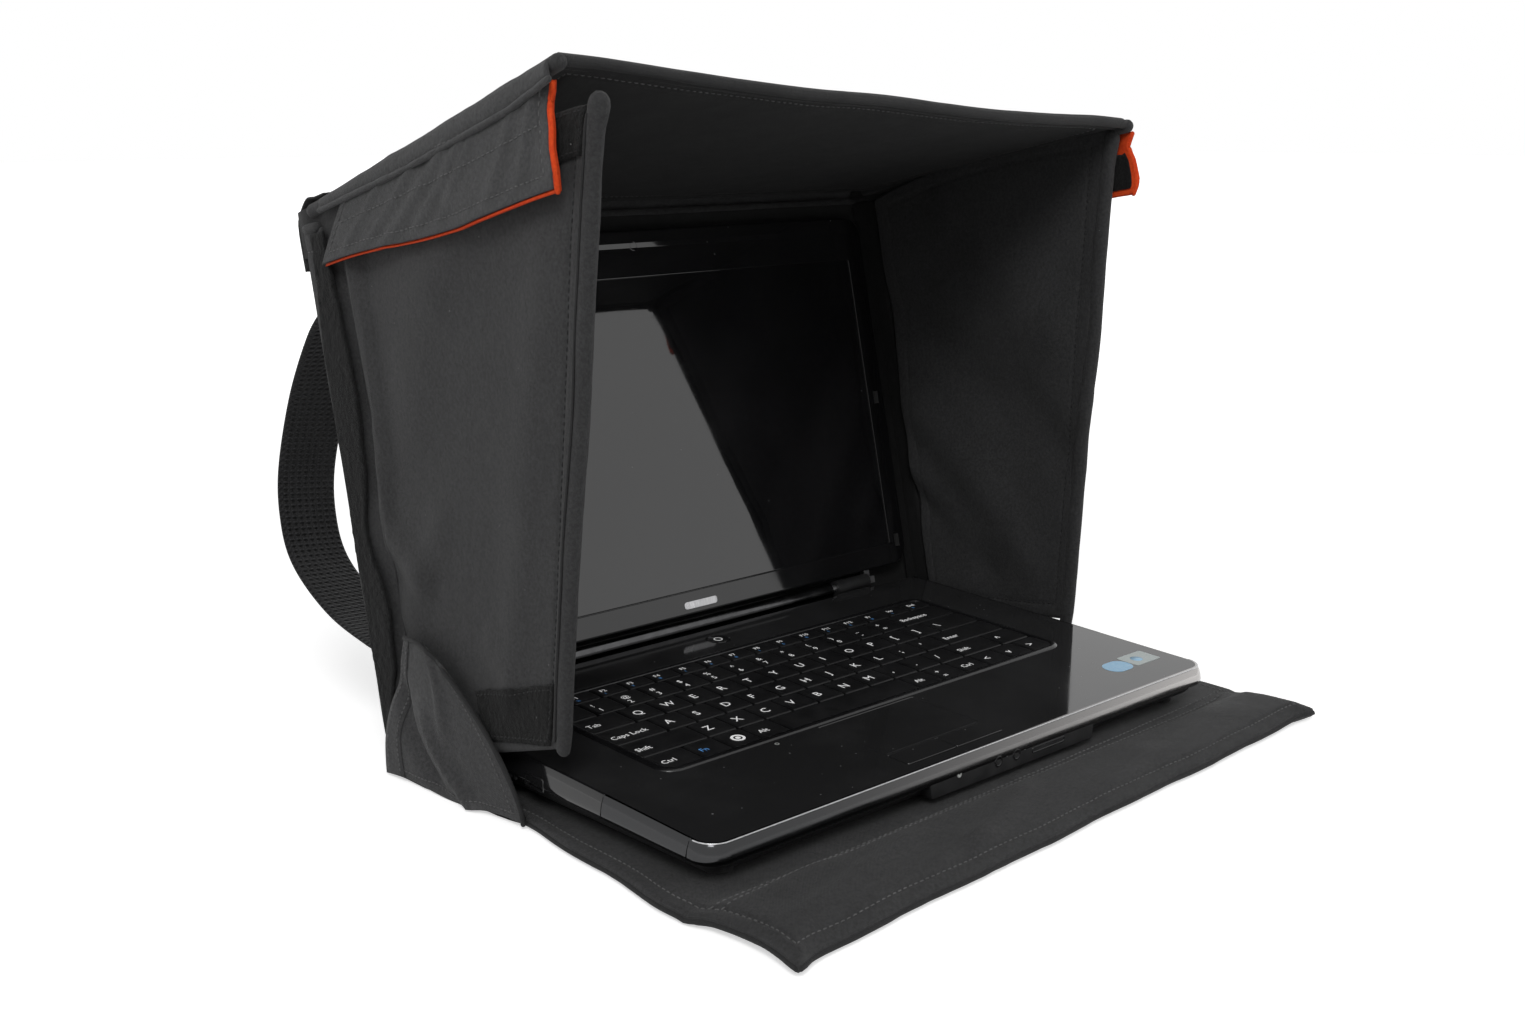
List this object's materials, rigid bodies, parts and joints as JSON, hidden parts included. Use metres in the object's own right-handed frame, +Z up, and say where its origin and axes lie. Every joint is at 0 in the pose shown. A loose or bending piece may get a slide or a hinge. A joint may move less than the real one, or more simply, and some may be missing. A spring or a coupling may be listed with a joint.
{
  "type": "laptop hood",
  "caption": "Folding cloth sun hood and carry bag opened round a laptop, used as a shaded script and monitor screen; roof, sides, front apron and flaps fold.",
  "frame": {"origin": "on the ground under the middle of the hood's base panel", "axes": "+Z up, +X to the operator's right, +Y away from the operator towards the hood's back"},
  "size_m": [0.414, 0.3949, 0.3397],
  "materials": {
    "nylon_outer": "matte plain-weave nylon",
    "orange_lining": "bright matte cloth",
    "hook_tape": "stiff hook tape",
    "loop_tape": "brushed loop tape",
    "webbing": "ribbed webbing",
    "board": "corrugated stiffener board",
    "foam": "closed-cell foam",
    "gloss_black": "piano-black gloss",
    "case_black": "moulded grain",
    "polished_trim": "polished",
    "key_black": "satin",
    "steel": "satin",
    "screen": "glossy screen film",
    "lens": "clear gloss",
    "rubber": "matte",
    "board_green": "circuit board",
    "copper": "bare copper",
    "drive_case": "satin"
  },
  "bodies": {
    "hood_base": {"base_cover": "nylon_outer", "base_board": "board", "back_cover": "nylon_outer", "back_board": "board", "loop_strips": "loop_tape", "gusset_left": "nylon_outer", "gusset_right": "nylon_outer", "strap_tabs": "webbing"},
    "apron": {"apron_cover": "nylon_outer", "apron_foam": "foam"},
    "roof": {"roof_cover": "nylon_outer", "roof_board": "board"},
    "flap_left": {"roof_flap_left": "nylon_outer", "flap_lining_left": "orange_lining", "flap_hooks_left": "hook_tape"},
    "flap_right": {"roof_flap_right": "nylon_outer", "flap_lining_right": "orange_lining", "flap_hooks_right": "hook_tape"},
    "side_left": {"side_cover_left": "nylon_outer", "side_board_left": "board", "side_hem_left": "nylon_outer", "hook_patches_left": "hook_tape"},
    "side_right": {"side_cover_right": "nylon_outer", "side_board_right": "board", "side_hem_right": "nylon_outer", "hook_patches_right": "hook_tape"},
    "handle": {"carry_strap": "webbing"},
    "laptop_base": {"bottom_case": "case_black", "deck_cover": "gloss_black", "edge_trim": "polished_trim", "keyboard_tray": "steel", "hinge_knuckles": "steel", "touchpad": "case_black", "audio_jacks": "case_black", "hard_drive": "drive_case", "optical_drive": "drive_case", "main_board": "board_green", "fan_housing": "case_black", "heat_sink": "copper", "battery_pack": "case_black", "rubber_feet": "rubber"},
    "laptop_lid": {"lid_cover": "case_black", "lid_bezel": "gloss_black", "display_panel": "screen", "webcam": "lens", "lid_bumpers": "rubber", "hinge_arms": "steel", "hinge_barrel": "polished_trim"},
    "keys_function_row": {"keys_function_row": "key_black"},
    "keys_number_row": {"keys_number_row": "key_black"},
    "keys_upper_row": {"keys_upper_row": "key_black"},
    "keys_home_row": {"keys_home_row": "key_black"},
    "keys_lower_row": {"keys_lower_row": "key_black"},
    "keys_bottom_row": {"keys_bottom_row": "key_black"},
    "space_bar": {"space_bar": "key_black"},
    "power_button": {"power_button": "gloss_black"},
    "pad_key_left": {"pad_key_left": "case_black"},
    "pad_key_right": {"pad_key_right": "case_black"},
    "battery_latch": {"battery_latch": "case_black"},
    "fan_rotor": {"fan_rotor": "case_black"}
  },
  "joints": [
    {"name": "laptop_slide", "type": "slide", "parent": "hood_base", "child": "laptop_base", "axis": [0, 1, 0], "range_m": [-0.3, 0]},
    {"name": "lid_hinge", "type": "hinge", "parent": "laptop_base", "child": "laptop_lid", "pos_m": [0, 0.111, 0.038], "axis": [1, 0, 0], "range_deg": [0, 104]},
    {"name": "roof_lift", "type": "hinge", "parent": "hood_base", "child": "roof", "pos_m": [0, 0.172, 0.279], "axis": [-1, 0, 0], "range_deg": [0, 110]},
    {"name": "flap_left_fold", "type": "hinge", "parent": "roof", "child": "flap_left", "pos_m": [-0.201, 0.172, 0.279], "axis": [0, 0.9673, -0.2538], "range_deg": [0, 180]},
    {"name": "flap_right_fold", "type": "hinge", "parent": "roof", "child": "flap_right", "pos_m": [0.201, 0.172, 0.279], "axis": [0, -0.9673, 0.2538], "range_deg": [0, 180]},
    {"name": "side_left_swing", "type": "hinge", "parent": "hood_base", "child": "side_left", "pos_m": [-0.197, 0.09327, 0.00587], "axis": [0, -0.213, -0.977], "range_deg": [0, 90], "deforming": ["gusset_left", "roof_flap_left", "flap_lining_left", "flap_hooks_left"]},
    {"name": "side_right_swing", "type": "hinge", "parent": "hood_base", "child": "side_right", "pos_m": [0.197, 0.09327, 0.00587], "axis": [0, 0.213, 0.977], "range_deg": [0, 90], "deforming": ["gusset_right", "roof_flap_right", "flap_lining_right", "flap_hooks_right"]},
    {"name": "apron_fold", "type": "hinge", "parent": "hood_base", "child": "apron", "pos_m": [0, -0.12205, 0.006], "axis": [-1, 0, 0], "range_deg": [0, 90]},
    {"name": "handle_swing", "type": "hinge", "parent": "hood_base", "child": "handle", "pos_m": [-0.18, 0.12112, -0.0002], "axis": [0, 0.213, 0.977], "range_deg": [-35, 35]},
    {"name": "keys_function_row_press", "type": "slide", "parent": "laptop_base", "child": "keys_function_row", "axis": [0, 0.0427, -0.9991], "range_m": [0, 0.002]},
    {"name": "keys_number_row_press", "type": "slide", "parent": "laptop_base", "child": "keys_number_row", "axis": [0, 0.0427, -0.9991], "range_m": [0, 0.002]},
    {"name": "keys_upper_row_press", "type": "slide", "parent": "laptop_base", "child": "keys_upper_row", "axis": [0, 0.0427, -0.9991], "range_m": [0, 0.002]},
    {"name": "keys_home_row_press", "type": "slide", "parent": "laptop_base", "child": "keys_home_row", "axis": [0, 0.0427, -0.9991], "range_m": [0, 0.002]},
    {"name": "keys_lower_row_press", "type": "slide", "parent": "laptop_base", "child": "keys_lower_row", "axis": [0, 0.0427, -0.9991], "range_m": [0, 0.002]},
    {"name": "keys_bottom_row_press", "type": "slide", "parent": "laptop_base", "child": "keys_bottom_row", "axis": [0, 0.0427, -0.9991], "range_m": [0, 0.002]},
    {"name": "space_bar_press", "type": "slide", "parent": "laptop_base", "child": "space_bar", "axis": [0, 0.0427, -0.9991], "range_m": [0, 0.002]},
    {"name": "power_button_press", "type": "slide", "parent": "laptop_base", "child": "power_button", "axis": [0, 0.0427, -0.9991], "range_m": [0, 0.0006]},
    {"name": "pad_key_left_press", "type": "slide", "parent": "laptop_base", "child": "pad_key_left", "axis": [0, 0.0427, -0.9991], "range_m": [0, 0.0006]},
    {"name": "pad_key_right_press", "type": "slide", "parent": "laptop_base", "child": "pad_key_right", "axis": [0, 0.0427, -0.9991], "range_m": [0, 0.0006]},
    {"name": "battery_latch_slide", "type": "slide", "parent": "laptop_base", "child": "battery_latch", "axis": [1, 0, 0], "range_m": [0, 0.008]},
    {"name": "fan_spin", "type": "hinge", "parent": "laptop_base", "child": "fan_rotor", "pos_m": [-0.145, 0.078, 0.015], "axis": [0, 0, 1], "continuous": true}
  ]
}
